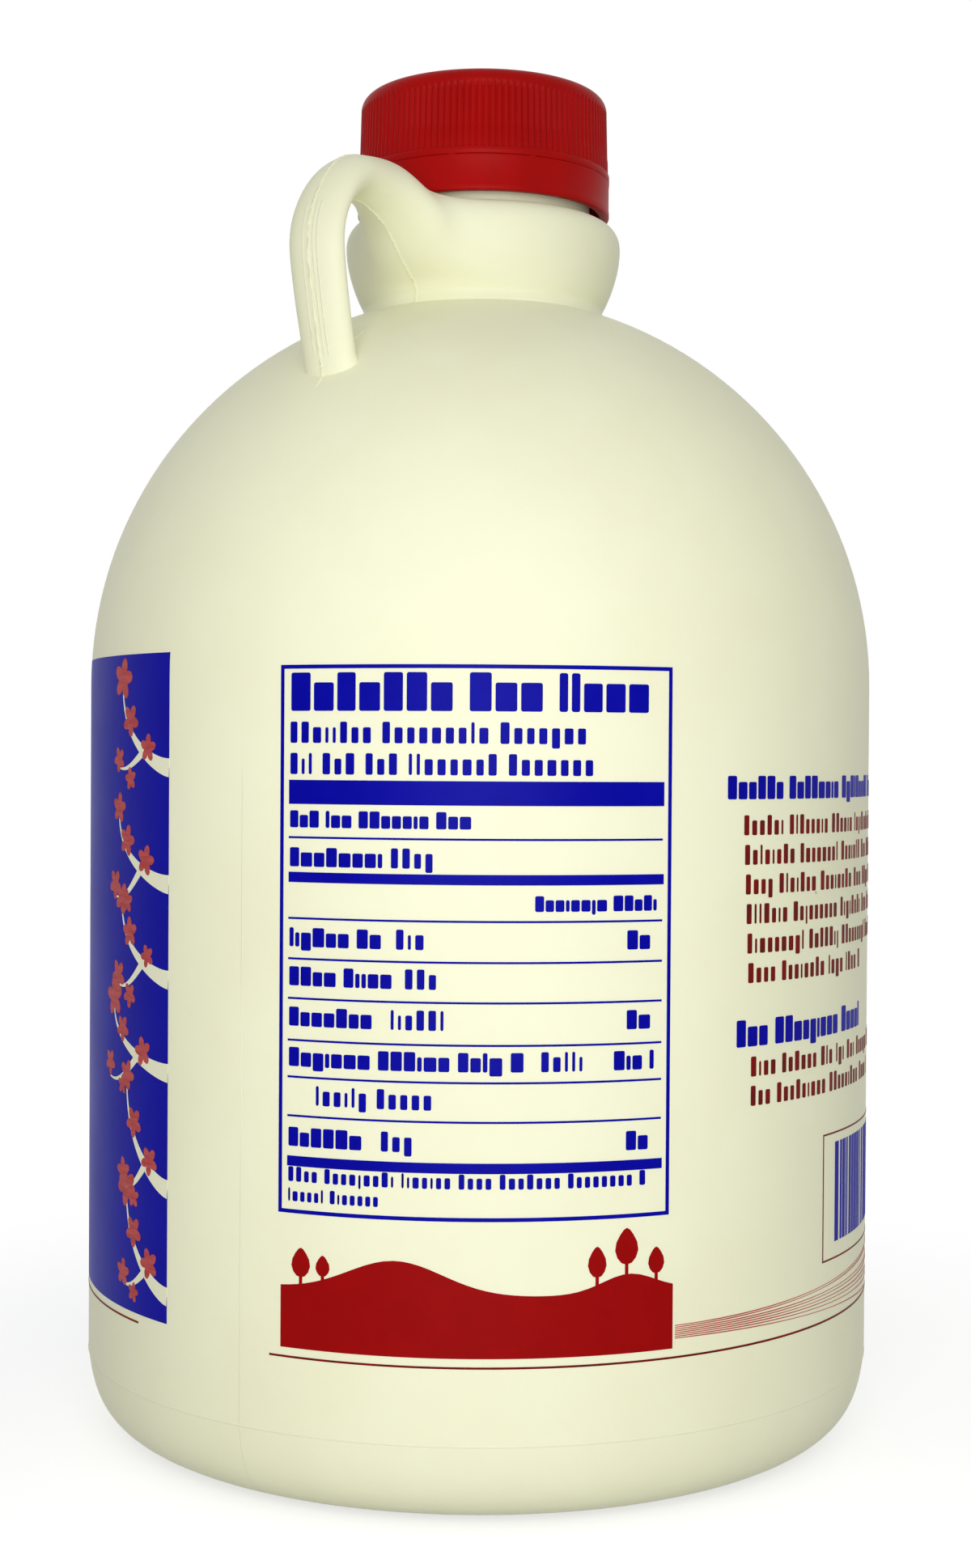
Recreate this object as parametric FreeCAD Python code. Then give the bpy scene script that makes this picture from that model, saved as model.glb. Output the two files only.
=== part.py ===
"""Half-gallon syrup jug: blow-moulded body with a finger-loop handle, screw cap and tamper band.

The origin is at the centre of the base, +Z is up and the handle stands over +X.
"""
import FreeCAD, Part
import math
import os

os.makedirs("parts", exist_ok=True)

# ---- driving sizes, millimetres ------------------------------------------------------------
body_r = 64.0            # round body
shoulder_z = 121.0       # where the straight wall turns into the dome
foot_r = 44.25           # flat ring that the jug stands on
heel_h = 14.0            # height of the rounded heel
heel_fullness = 0.725    # reach of the heel curve's handles, as a part of its two sides
recess_r = 38.0          # shallow push-up under the base
recess_h = 2.0
recess_draft = 3.0

crease_r = 19.0          # where the collar under the cap meets the dome
crease_fillet = 0.8
collar_r = 22.8          # widest place of the collar
collar_mid_h = 9.5       # height of that place over the crease
collar_h = 15.3          # height of the collar's top over the crease
collar_rim_in = 1.6      # how far in from the widest place the collar's top rounds over
collar_rim_flat = 1.7    # how far in from there the flat top starts
collar_low_pull = 4.5    # reach of the curve's handle below the widest place
collar_top_pull = 1.6    # and below the top
crease_pull_r = 1.7      # the collar leaves the crease outwards and up
crease_pull_h = 2.3

stem_r = 17.6            # neck inside the cap
seat_gap = 1.3           # free height between collar and tamper band
band_lip = 0.25          # how far the band and the cap's ledge stand out past the flutes
band_h = 5.5
band_wall = 1.5
band_edge = 0.35         # rounding of the band's two outer edges
slit = 0.2               # open slit between band and cap, crossed by the bridges
bridge_count = 10
bridge_w = 1.2
cap_r = 20.6             # over the flutes, at the skirt's lower end
ledge_h = 1.2            # plain ledge under the flutes, as wide as the band
cap_draft = 0.25         # how much narrower the skirt is at its top
cap_h = 13.9
cap_wall = 1.7
cap_roof = 2.0
cap_corner = 2.2         # rounding of the cap's top edge
flute_count = 120
flute_depth = 0.3
neck_clearance = 0.35    # between the neck and what goes round it

handle_reach = 49.1      # outside of the handle, from the jug's axis
handle_top_h = 19.0      # top of the handle over the crease
strap_w = 9.6
strap_t = 4.5            # thickness of the upright leg
arch_t = 7.7             # thickness of the arch where it leaves the collar
bend_r = 11.0            # middle line of the turn from arch to leg
leg_turn = 98            # degrees that the arch turns through before the leg starts
leg_lean_r = 120.0       # middle line of the leg, which curves in towards the dome
leg_step = 5.0           # spacing of the leg's cross-sections
foot_w = 8.8             # the leg's width and thickness where it meets the dome
foot_t = 5.2
foot_sink = 3.5          # how far the leg's middle runs on inside the dome
root_sink = 9.5          # how far the arch starts inside the collar
root_h = 9.2             # height and thickness of the arch there
flare_r = 20.0           # plan radius that widens the arch into the collar
strap_power = 2.1        # 2 is an ellipse, larger is squarer

# ---- sizes that follow -----------------------------------------------------------------------
crease_z = shoulder_z + math.sqrt(body_r ** 2 - crease_r ** 2)
collar_top_z = crease_z + collar_h
collar_rim_r = collar_r - collar_rim_in
band_r = cap_r + band_lip
band_z = collar_top_z + seat_gap
cap_z = band_z + band_h + slit
cap_top_z = cap_z + cap_h
stem_top_z = cap_top_z - cap_roof
strap_x = handle_reach - strap_t / 2
bend_x = strap_x - bend_r
arch_z = crease_z + handle_top_h - arch_t / 2
bend_z = arch_z - bend_r


def point(r, z):
    """A place on the half section that is turned round the jug's axis."""
    return FreeCAD.Vector(r, 0, z)


def line(a, b):
    return Part.LineSegment(a, b).toShape()


def bezier(*poles):
    curve = Part.BezierCurve()
    curve.setPoles(list(poles))
    return curve.toShape()


def turned(edges):
    """The solid that a closed half section makes round the Z axis."""
    face = Part.Face(Part.Wire(edges))
    return face.revolve(FreeCAD.Vector(0, 0, 0), FreeCAD.Vector(0, 0, 1), 360)


def column(r, z, height):
    return Part.makeCylinder(r, height, point(0, z))


def save(shape, node):
    shape = shape.removeSplitter()
    assert len(shape.Solids) == 1 and shape.isValid(), node
    shape.Solids[0].exportStep("parts/" + node + ".step")
    box = shape.BoundBox
    print(node, "volume", round(shape.Volume, 1), "z", round(box.ZMin, 2), "to", round(box.ZMax, 2),
          "x", round(box.XMin, 2), "to", round(box.XMax, 2))


def body():
    """Foot, heel, wall, dome and collar, with the neck that the cap screws on to."""
    axis_low = point(0, recess_h)
    axis_top = point(0, stem_top_z)
    recess_edge = point(recess_r - recess_draft, recess_h)
    recess_foot = point(recess_r, 0)
    foot = point(foot_r, 0)
    heel_top = point(body_r, heel_h)
    shoulder = point(body_r, shoulder_z)
    crease = point(crease_r, crease_z)
    collar_mid = point(collar_r, crease_z + collar_mid_h)
    collar_rim = point(collar_rim_r - collar_rim_flat, collar_top_z)
    crease_handle = point(crease_r + crease_pull_r, crease_z + crease_pull_h)
    low_handle = point(collar_r, crease_z + collar_mid_h - collar_low_pull)
    top_handle = point(collar_r, collar_top_z - collar_top_pull)
    stem_low = point(stem_r, collar_top_z)
    stem_top = point(stem_r, stem_top_z)
    half_turn = math.atan2(crease_z - shoulder_z, crease_r) / 2
    dome_mid = point(body_r * math.cos(half_turn), shoulder_z + body_r * math.sin(half_turn))
    heel_reach = heel_fullness * (body_r - foot_r)
    section = [
        line(axis_low, recess_edge),
        line(recess_edge, recess_foot),
        line(recess_foot, foot),
        bezier(foot, point(foot_r + heel_reach, 0), point(body_r, heel_h * (1 - heel_fullness)), heel_top),
        line(heel_top, shoulder),
        Part.Arc(shoulder, dome_mid, crease).toShape(),
        bezier(crease, crease_handle, low_handle, collar_mid),
        bezier(collar_mid, top_handle, point(collar_rim_r, collar_top_z), collar_rim),
        line(collar_rim, stem_low),
        line(stem_low, stem_top),
        line(stem_top, axis_top),
        line(axis_top, axis_low),
    ]
    solid = turned(section)
    at_crease = [edge for edge in solid.Edges
                 if abs(edge.BoundBox.ZMin - crease_z) < 0.01 and abs(edge.BoundBox.ZMax - crease_z) < 0.01]
    return solid.makeFillet(crease_fillet, at_crease)


def strap_section(x, z, turn, half_t, half_w):
    """A closed superellipse across the handle, where its middle line points turn degrees below +X."""
    down = math.radians(turn)
    across = FreeCAD.Vector(math.sin(down), 0, math.cos(down))
    points = []
    for step in range(16):
        angle = 2 * math.pi * step / 16
        along_t = math.copysign(abs(math.cos(angle)) ** (2 / strap_power), math.cos(angle))
        along_w = math.copysign(abs(math.sin(angle)) ** (2 / strap_power), math.sin(angle))
        points.append(point(x, z) + across * (half_t * along_t) + FreeCAD.Vector(0, half_w * along_w, 0))
    curve = Part.BSplineCurve()
    curve.interpolate(Points=points, PeriodicFlag=True)
    return Part.Wire(curve.toShape())


def flare_half_width(x):
    """Half the arch's width at x: an arc in plan that leaves the collar and meets the strap's side."""
    half = strap_w / 2
    centre_x = math.sqrt((collar_r + flare_r) ** 2 - (half + flare_r) ** 2)
    if x > centre_x:
        return half
    return half + flare_r - math.sqrt(flare_r ** 2 - (centre_x - x) ** 2)


def handle_stations():
    """Places along the handle from inside the collar to inside the dome."""
    root_x = collar_r - root_sink
    stations = [(root_x, crease_z + root_h, 0, root_h / 2, root_x)]
    # distance outside the collar, then the arch's top and underside over the crease
    for out, top, under in ((-4.2, collar_h - 0.2, 3.0), (-0.6, collar_h + 0.6, 3.4),
                            (3.4, handle_top_h - 1.4, 7.0),
                            (7.6, handle_top_h - 0.2, handle_top_h - arch_t - 0.9)):
        x = collar_r + out
        stations.append((x, crease_z + (top + under) / 2, 0, (top - under) / 2, flare_half_width(x)))
    # the turn from the arch to the leg
    for share_of_turn in (0, 0.25, 0.5, 0.75, 1):
        turn = leg_turn * share_of_turn
        angle = math.radians(turn)
        share = (1 + math.cos(math.pi * share_of_turn)) / 2
        half_t = (strap_t + (arch_t - strap_t) * share) / 2
        stations.append((bend_x + bend_r * math.sin(angle), bend_z + bend_r * math.cos(angle),
                         turn, half_t, strap_w / 2))
    # the leg, down to where its middle is well inside the dome
    turn = leg_turn
    x, z = stations[-1][:2]
    legs = []
    while math.hypot(x, z - shoulder_z) > body_r - foot_sink:
        turn += math.degrees(leg_step / leg_lean_r)
        x += leg_step * math.cos(math.radians(turn))
        z -= leg_step * math.sin(math.radians(turn))
        legs.append((x, z, turn))
    for order, place in enumerate(legs):
        share = (order + 1) / len(legs)
        half_t = (strap_t + (foot_t - strap_t) * share) / 2
        half_w = (strap_w + (foot_w - strap_w) * share) / 2
        stations.append((*place, half_t, half_w))
    return stations


def handle():
    """The finger loop, cut back so that the cap and its band turn freely."""
    loop = Part.makeLoft([strap_section(*station) for station in handle_stations()], True, False)
    clear_r = max(band_r, cap_r) + neck_clearance
    return loop.cut(column(clear_r, collar_top_z, cap_top_z - collar_top_z))


def fluted_skirt():
    """A closed skirt with a groove between each pair of ribs, a little narrower at its top."""
    rings = []
    for z, outer in ((cap_z + ledge_h / 2, cap_r),
                     (cap_top_z - cap_corner - flute_depth, cap_r - cap_draft)):
        corners = []
        for step in range(2 * flute_count):
            r = outer - flute_depth * (step % 2)
            angle = math.pi * step / flute_count
            corners.append(FreeCAD.Vector(r * math.cos(angle), r * math.sin(angle), z))
        rings.append(Part.makePolygon(corners + corners[:1]))
    return Part.makeLoft(rings, True, True)


def cap():
    """A plain cup over the neck, with a ledge, a fluted skirt and a rounded top edge."""
    top_r = cap_r - cap_draft - flute_depth
    roof = column(top_r, cap_z, cap_h)
    rim = [edge for edge in roof.Edges
           if edge.BoundBox.ZMin > cap_top_z - 0.01 and edge.BoundBox.XLength > 1]
    roof = roof.makeFillet(cap_corner, rim)
    ledge = column(band_r, cap_z, ledge_h)
    inside = column(cap_r - cap_wall, cap_z, cap_h - cap_roof)
    return roof.fuse([fluted_skirt(), ledge]).cut(inside)


def tamper_band():
    """The ring left round the neck, with bridges up to the cap's skirt."""
    ring = column(band_r, band_z, band_h)
    corners = [edge for edge in ring.Edges if edge.BoundBox.ZLength < 0.01]
    ring = ring.makeFillet(band_edge, corners)
    ring = ring.cut(column(band_r - band_wall, band_z, band_h))
    bridges = []
    bridge_in_r = cap_r - flute_depth - band_wall
    for step in range(bridge_count):
        block = Part.makeBox(band_wall, bridge_w, slit + band_edge, FreeCAD.Vector(0, -bridge_w / 2, 0))
        block.translate(FreeCAD.Vector(bridge_in_r, 0, cap_z - slit - band_edge))
        block.rotate(FreeCAD.Vector(0, 0, 0), FreeCAD.Vector(0, 0, 1), 360 * (step + 0.5) / bridge_count)
        bridges.append(block)
    return ring.fuse(bridges)


save(body().fuse(handle()), "jug")
save(cap(), "cap")
save(tamper_band(), "tamper_band")
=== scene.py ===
"""A half-gallon syrup jug: moulded cream shell with a finger loop, ribbed cap, tamper band and print."""
import math
import random

import bmesh
import bpy
from mathutils import Matrix, Vector
from mathutils.bvhtree import BVHTree


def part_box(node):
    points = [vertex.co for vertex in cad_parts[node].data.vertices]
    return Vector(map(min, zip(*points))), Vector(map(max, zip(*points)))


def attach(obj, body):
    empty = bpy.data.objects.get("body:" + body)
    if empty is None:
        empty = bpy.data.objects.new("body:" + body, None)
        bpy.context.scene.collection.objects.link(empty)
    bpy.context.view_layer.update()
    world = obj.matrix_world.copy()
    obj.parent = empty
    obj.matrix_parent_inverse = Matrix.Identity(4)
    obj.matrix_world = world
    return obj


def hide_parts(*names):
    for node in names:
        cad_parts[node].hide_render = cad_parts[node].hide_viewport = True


bl_info = {
    "name": "Syrup Jug Maker",
    "version": (1, 0, 0),
    "blender": (4, 5, 0),
    "location": "3D View > Sidebar > Syrup Jug",
    "description": "Builds a moulded syrup jug, its cap, its tamper band, its print and a studio round them",
    "category": "Add Mesh",
}

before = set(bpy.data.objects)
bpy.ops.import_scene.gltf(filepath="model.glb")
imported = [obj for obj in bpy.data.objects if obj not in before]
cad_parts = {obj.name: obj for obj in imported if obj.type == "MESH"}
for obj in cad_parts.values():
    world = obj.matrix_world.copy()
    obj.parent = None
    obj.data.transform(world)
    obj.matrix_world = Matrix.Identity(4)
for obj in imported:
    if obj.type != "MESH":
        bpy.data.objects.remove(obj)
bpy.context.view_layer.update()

MM = 0.001                       # pieces are shaped in millimetres and stored in metres
BODY = "root"
JUG_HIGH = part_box("jug")[1]
CAP_LOW, CAP_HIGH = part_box("cap")
BAND_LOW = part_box("tamper_band")[0]


# ---- sizes and colours that a user may change --------------------------------------------------

def linear(red, green, blue):
    """A colour as the eye reads it, 0 to 255 a channel, in the linear values that shaders take."""
    shares = (value / 255 for value in (red, green, blue))
    return tuple(v / 12.92 if v <= 0.04045 else ((v + 0.055) / 1.055) ** 2.4 for v in shares)


def length(name, description, default_mm):
    return bpy.props.FloatProperty(name=name, description=description, default=default_mm * MM,
                                   min=0, precision=5, subtype="DISTANCE", unit="LENGTH")


def colour(name, description, rgb):
    return bpy.props.FloatVectorProperty(name=name, description=description, default=linear(*rgb),
                                         min=0, max=1, size=3, subtype="COLOR")


class JugSizes(bpy.types.PropertyGroup):
    """Sizes of the moulded jug."""
    body_r: length("Body radius", "Outside of the round wall", JUG_HIGH.y / MM)
    shoulder_z: length("Shoulder height", "Where the straight wall turns into the dome", 121.0)
    foot_r: length("Foot radius", "Flat ring that the jug stands on", 44.25)
    heel_h: length("Heel height", "Height of the rounded heel", 14.0)
    recess_r: length("Push-up radius", "Shallow recess under the base", 38.0)
    recess_h: length("Push-up height", "Depth of that recess", 2.0)
    crease_r: length("Crease radius", "Where the collar meets the dome", 19.0)
    collar_r: length("Collar radius", "Widest place of the collar", 22.8)
    collar_mid_h: length("Collar middle", "Height of that place over the crease", 11.6)
    collar_h: length("Collar height", "Height of the collar over the crease", 15.3)
    stem_r: length("Neck radius", "Neck inside the cap", 17.6)
    handle_reach: length("Handle reach", "Outside of the handle, from the jug's axis", 49.1)
    handle_top_h: length("Handle top", "Top of the handle over the crease", 19.0)
    strap_w: length("Strap width", "Width of the handle's leg", 9.6)
    strap_t: length("Strap thickness", "Thickness of the handle's leg", 4.5)
    arch_t: length("Arch thickness", "Thickness of the arch where it leaves the collar", 7.7)
    bend_r: length("Bend radius", "Middle line of the turn from arch to leg", 11.0)
    skin: length("Skin", "How far the shell lies under the ink's surface", 0.06)
    seam_rise: length("Seam", "How far the mould seam stands out on the handle", 0.2)


class CapSizes(bpy.types.PropertyGroup):
    """Sizes of the screw cap and the tamper band."""
    rib_r: length("Rib radius", "Over the ribs, at the skirt's lower end", 20.6)
    rib_depth: length("Rib depth", "Depth of the grooves between the ribs", 0.3)
    rib_count: bpy.props.IntProperty(name="Ribs", description="Ribs round the cap", default=120, min=12)
    draft: length("Draft", "How much narrower the skirt is at its top", 0.25)
    corner: length("Corner", "Rounding of the cap's top edge", 2.2)
    wall: length("Wall", "Thickness of the skirt", 1.7)
    roof: length("Roof", "Thickness of the cap's top", 2.0)
    lip_r: length("Band radius", "Outside of the tamper band and of the cap's ledge", 20.85)
    ledge_h: length("Ledge", "Plain ledge under the ribs", 1.2)
    slit: length("Slit", "Hairline slit between the band and the cap", 0.05)
    band_wall: length("Band wall", "Thickness of the tamper band", 1.5)
    band_edge: length("Band edge", "Rounding of the band's upper edge", 0.12)


class InkSizes(bpy.types.PropertyGroup):
    """Sizes of the screen print."""
    depth: length("Ink depth", "How far the ink reaches into the wall", 0.16)
    under: length("Ink level", "How far the ink's surface lies under the jug's outermost radius", 0.012)
    panel_left: bpy.props.FloatProperty(name="Table start", description="Angle where the table panel starts",
                                        default=math.radians(5.85), subtype="ANGLE", unit="ROTATION")
    side_left: bpy.props.FloatProperty(name="Side text start", description="Angle where the side text starts",
                                       default=math.radians(65.8), subtype="ANGLE", unit="ROTATION")
    front_mid: bpy.props.FloatProperty(name="Front middle", description="Angle of the front panel's middle",
                                       default=math.radians(-90), subtype="ANGLE", unit="ROTATION")
    front_half: bpy.props.FloatProperty(name="Front half", description="Half the front panel's angle",
                                        default=math.radians(76.4), subtype="ANGLE", unit="ROTATION")


class FinishColours(bpy.types.PropertyGroup):
    """Colours of the plastics, the inks and the studio."""
    cream: colour("Cream", "Moulded jug", (242, 242, 211))
    cream_deep: colour("Cream in the blotches", "Slightly deeper tone of the jug", (236, 235, 201))
    speck: colour("Speck", "Fine dirt on the jug", (120, 112, 84))
    red: colour("Red plastic", "Cap and band", (168, 8, 6))
    red_deep: colour("Red in the streaks", "Deeper tone of the cap and band", (146, 6, 5))
    blue_ink: colour("Blue ink", "Panels, headings and table", (3, 3, 150))
    blue_thin: colour("Thin blue ink", "Where the blue ink is thinner", (10, 12, 168))
    red_ink: colour("Red ink", "Hills", (147, 6, 7))
    leaf_ink: colour("Muted red ink", "Blossoms on the blue panel and the furrow lines", (188, 84, 82))
    brown_ink: colour("Brown ink", "Side text and thin lines", (96, 22, 20))
    floor: colour("Floor", "Pale studio floor", (205, 205, 205))
    studio: colour("Studio", "Soft light from all round", (184, 185, 184))


GROUPS = {"jug_sizes": JugSizes, "cap_sizes": CapSizes, "ink_sizes": InkSizes,
          "finish_colours": FinishColours}


def mm(group, *names):
    """Sizes of a group in millimetres."""
    values = [getattr(group, name) / MM for name in names]
    return values[0] if len(values) == 1 else values


# ---- mesh helpers ------------------------------------------------------------------------------

def store(bm, name, material, crease_deg=35):
    """Turns a bmesh in millimetres into a smooth-shaded piece in metres, with its sharp folds kept."""
    bmesh.ops.scale(bm, vec=(MM, MM, MM), verts=bm.verts)
    mesh = bpy.data.meshes.new(name)
    bm.to_mesh(mesh)
    bm.free()
    return add_object(mesh, name, material, crease_deg)


def add_object(mesh, name, material, crease_deg=35):
    mesh.shade_smooth()
    mesh.set_sharp_from_angle(angle=math.radians(crease_deg))
    mesh.materials.clear()
    mesh.materials.append(material)
    piece = bpy.data.objects.new(name, mesh)
    bpy.context.scene.collection.objects.link(piece)
    return piece


def place(piece, node=None):
    """The piece moves with the jug and stands for a CAD node where it has one."""
    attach(piece, BODY)
    if node:
        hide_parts(node)


def settled(piece):
    """The piece's mesh with its modifiers worked in. The piece itself goes."""
    bpy.context.view_layer.update()
    evaluated = piece.evaluated_get(bpy.context.evaluated_depsgraph_get())
    mesh = bpy.data.meshes.new_from_object(evaluated)
    bpy.data.objects.remove(piece)
    return mesh


def turned(profile, steps):
    """A closed shell from a half section of (radius, height) points turned round the Z axis."""
    bm = bmesh.new()
    verts = [bm.verts.new((r, 0, z)) for r, z in profile]
    edges = [bm.edges.new(pair) for pair in zip(verts, verts[1:])]
    if profile[0][0] > 0:
        edges.append(bm.edges.new((verts[-1], verts[0])))
    bmesh.ops.spin(bm, geom=verts + edges, cent=(0, 0, 0), axis=(0, 0, 1), angle=2 * math.pi,
                   steps=steps, use_merge=True)
    bmesh.ops.remove_doubles(bm, verts=bm.verts, dist=1e-5)
    bmesh.ops.dissolve_degenerate(bm, edges=bm.edges, dist=1e-6)
    bmesh.ops.recalc_face_normals(bm, faces=bm.faces)
    return bm


def bezier(a, b, c, d, t):
    """A point of a cubic Bezier in the half section."""
    s = 1 - t
    shares = (s ** 3, 3 * s * s * t, 3 * s * t * t, t ** 3)
    return tuple(sum(w * p[axis] for w, p in zip(shares, (a, b, c, d))) for axis in (0, 1))


def arc(centre, radius, start_deg, end_deg, steps):
    """Points of an arc in the half section, both ends included."""
    angles = [math.radians(start_deg + (end_deg - start_deg) * i / steps) for i in range(steps + 1)]
    return [(centre[0] + radius * math.cos(a), centre[1] + radius * math.sin(a)) for a in angles]


def tube(name, material, loops, radius):
    """A thin round bead along each (points, closed) line, in millimetres."""
    curve = bpy.data.curves.new(name, "CURVE")
    curve.dimensions = "3D"
    curve.bevel_depth = radius * MM
    curve.bevel_resolution = 1
    curve.use_fill_caps = True
    for points, closed in loops:
        spline = curve.splines.new("POLY")
        spline.points.add(len(points) - 1)
        for place_in_line, point in zip(spline.points, points):
            place_in_line.co = (*(Vector(point) * MM), 1)
        spline.use_cyclic_u = closed
    holder = bpy.data.objects.new(name + "_line", curve)
    bpy.context.scene.collection.objects.link(holder)
    return add_object(settled(holder), name, material, 60)


# ---- the moulded jug ---------------------------------------------------------------------------

def crease_height(sizes):
    body_r, shoulder_z, crease_r = mm(sizes, "body_r", "shoulder_z", "crease_r")
    return shoulder_z + math.sqrt(body_r ** 2 - crease_r ** 2)


def body_profile(sizes):
    """Half section of the body, from the push-up under the base to a lid hidden inside the collar."""
    body_r, shoulder_z, foot_r, heel_h = mm(sizes, "body_r", "shoulder_z", "foot_r", "heel_h")
    recess_r, recess_h, stem_r = mm(sizes, "recess_r", "recess_h", "stem_r")
    recess_draft, fullness, kink = 3.0, 0.725, 0.9
    skin_r = body_r - mm(sizes, "skin")
    reach = fullness * (body_r - foot_r)
    heel = [(foot_r, 0), (foot_r + reach * 1.04, 0), (skin_r - kink, heel_h * (0.98 - fullness)),
            (skin_r, heel_h)]
    profile = [(0, recess_h), (recess_r - recess_draft, recess_h), (recess_r - 0.4, 0.25), (recess_r, 0)]
    profile += [bezier(*heel, step / 20) for step in range(21)]
    profile += [(skin_r, heel_h + (shoulder_z - heel_h) * share / 6) for share in range(1, 6)]
    lid_deg = math.degrees(math.acos(stem_r * 0.9 / skin_r))
    dome = arc((0, shoulder_z), skin_r, 0, lid_deg, 36)
    return profile + dome + [(0, dome[-1][1])]


COLLAR_COLUMNS = 16              # columns of the collar's cage, and points round the handle's
ROUND = 3 / (2 + math.cos(2 * math.pi / COLLAR_COLUMNS))    # how far a cage stands out from its smooth round


def on_dome(sizes, r):
    """Height of the dome's skin at a radius."""
    body_r, shoulder_z, skin = mm(sizes, "body_r", "shoulder_z", "skin")
    return shoulder_z + math.sqrt((body_r - skin) ** 2 - r ** 2)


def collar_cage(sizes):
    """The collar and the neck as a coarse cage, with a hole where the handle's arch grows out."""
    crease_z = crease_height(sizes)
    crease_r, collar_r, mid_h, collar_h, stem_r = mm(sizes, "crease_r", "collar_r", "collar_mid_h",
                                                     "collar_h", "stem_r")
    low = [(crease_r, 0), (crease_r + 1.7, 2.3), (collar_r, mid_h - 4.5), (collar_r, mid_h)]
    high = [(collar_r, mid_h), (collar_r, collar_h - 1.6), (collar_r - 1.6, collar_h),
            (collar_r - 3.3, collar_h)]
    lip_r = crease_r + 1.25
    rows = [(0, -4), (crease_r - 2, -4), (lip_r - 0.15, on_dome(sizes, lip_r) - crease_z - 1.2),
            (lip_r, on_dome(sizes, lip_r) - crease_z - 0.02)]
    rows += [bezier(*low, t) for t in (0.12, 0.22)]
    hole = [bezier(*low, t) for t in (0.33, 0.55, 0.78, 1.0)] + [bezier(*high, t) for t in (0.3, 0.6, 0.85)]
    rows += hole + [bezier(*high, 1.0), (stem_r + 0.7, collar_h), (stem_r + 0.05, collar_h + 0.1),
                    (stem_r, collar_h + 0.9)]
    stem_top = JUG_HIGH.z / MM - crease_z - 0.05
    rows += [(stem_r, collar_h + 6), (stem_r, stem_top - 0.8), (stem_r - 0.4, stem_top), (0, stem_top)]
    bm = turned([(r * ROUND, z + crease_z) for r, z in rows], COLLAR_COLUMNS)
    inside = math.radians(360 / COLLAR_COLUMNS)
    gone = []
    for face in bm.faces:
        centre = face.calc_center_median()
        if abs(math.atan2(centre.y, centre.x)) < inside and hole[0][1] < centre.z - crease_z < hole[-1][1]:
            gone.append(face)
    bmesh.ops.delete(bm, geom=gone, context="FACES")
    return bm


def flare_half_width(sizes, x):
    """Half the arch's width at x: an arc in plan that leaves the collar and meets the strap's side."""
    collar_r, strap_w = mm(sizes, "collar_r", "strap_w")
    flare_r, half = 20.0, strap_w / 2
    centre_x = math.sqrt((collar_r + flare_r) ** 2 - (half + flare_r) ** 2)
    if x > centre_x:
        return half
    return half + flare_r - math.sqrt(flare_r ** 2 - (centre_x - x) ** 2)


def handle_stations(sizes):
    """(x, z, turn below +X, half thickness, half width, keel) along the handle, from collar to dome."""
    collar_r, reach, top_h, strap_w, strap_t = mm(sizes, "collar_r", "handle_reach", "handle_top_h",
                                                  "strap_w", "strap_t")
    arch_t, bend_r, body_r, shoulder_z = mm(sizes, "arch_t", "bend_r", "body_r", "shoulder_z")
    crease_z = crease_height(sizes)
    stations = []
    # distance outside the collar, then the arch's top and underside over the crease, and its keel
    arch = ((1.2, 16.7, 5.3, 0.2),
            (3.6, top_h - 0.9, 8.1, 0.45),
            (6.2, top_h + 0.4, 10.4, 0.5),
            (9.4, top_h + 0.6, top_h - arch_t + 0.6, 0.4))
    for out, top, under, keel in arch:
        x = collar_r + out
        stations.append((x, crease_z + (top + under) / 2, 0, (top - under) / 2,
                         flare_half_width(sizes, x), keel))
    bend_x = reach - strap_t / 2 - bend_r
    bend_z = crease_z + top_h - arch_t / 2 - bend_r
    leg_turn, leg_lean_r, leg_step = 98, 120.0, 5.0
    bend_steps = 8
    bend_start_t, bend_slim, bend_lift = arch_t - 1.1, 0.55, 0.7
    for step in range(bend_steps + 1):
        share_of_turn = step / bend_steps
        angle = math.radians(leg_turn * share_of_turn)
        share = (1 + math.cos(math.pi * share_of_turn)) / 2
        slim = bend_slim * math.sin(math.pi * share_of_turn) ** 2
        thick = strap_t + (bend_start_t - strap_t) * share ** 1.5 - slim
        middle_r = bend_r - slim / 2
        x = bend_x + middle_r * math.sin(angle)
        z = bend_z + middle_r * math.cos(angle) + bend_lift * share
        stations.append((x, z, leg_turn * share_of_turn, thick / 2, strap_w / 2, 0.25 * share))
    foot_t, foot_w, turn = 5.2, 8.8, leg_turn
    x, z = stations[-1][:2]
    legs = []
    while math.hypot(x, z - shoulder_z) > body_r + 4.5:
        turn += math.degrees(leg_step / leg_lean_r)
        x += leg_step * math.cos(math.radians(turn))
        z -= leg_step * math.sin(math.radians(turn))
        legs.append((x, z, turn))
    for order, place_on_leg in enumerate(legs):
        share = (order + 1) / (len(legs) + 1)
        stations.append((*place_on_leg, (strap_t + (foot_t - strap_t) * share) / 2,
                         (strap_w + (foot_w - strap_w) * share) / 2, 0))
    return stations


def grow_ring(bm, ring, places):
    """Extrudes a ring of the cage by one step, each vertex to its own place."""
    edges = [edge for vert in ring for edge in vert.link_edges
             if edge.is_boundary and edge.other_vert(vert) in ring]
    grown = bmesh.ops.extrude_edge_only(bm, edges=list(dict.fromkeys(edges)))["geom"]
    new = {vert for vert in grown if isinstance(vert, bmesh.types.BMVert)}
    follow = []
    for vert, spot in zip(ring, places):
        partner = next(edge.other_vert(vert) for edge in vert.link_edges if edge.other_vert(vert) in new)
        partner.co = spot
        follow.append(partner)
    return follow


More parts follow.
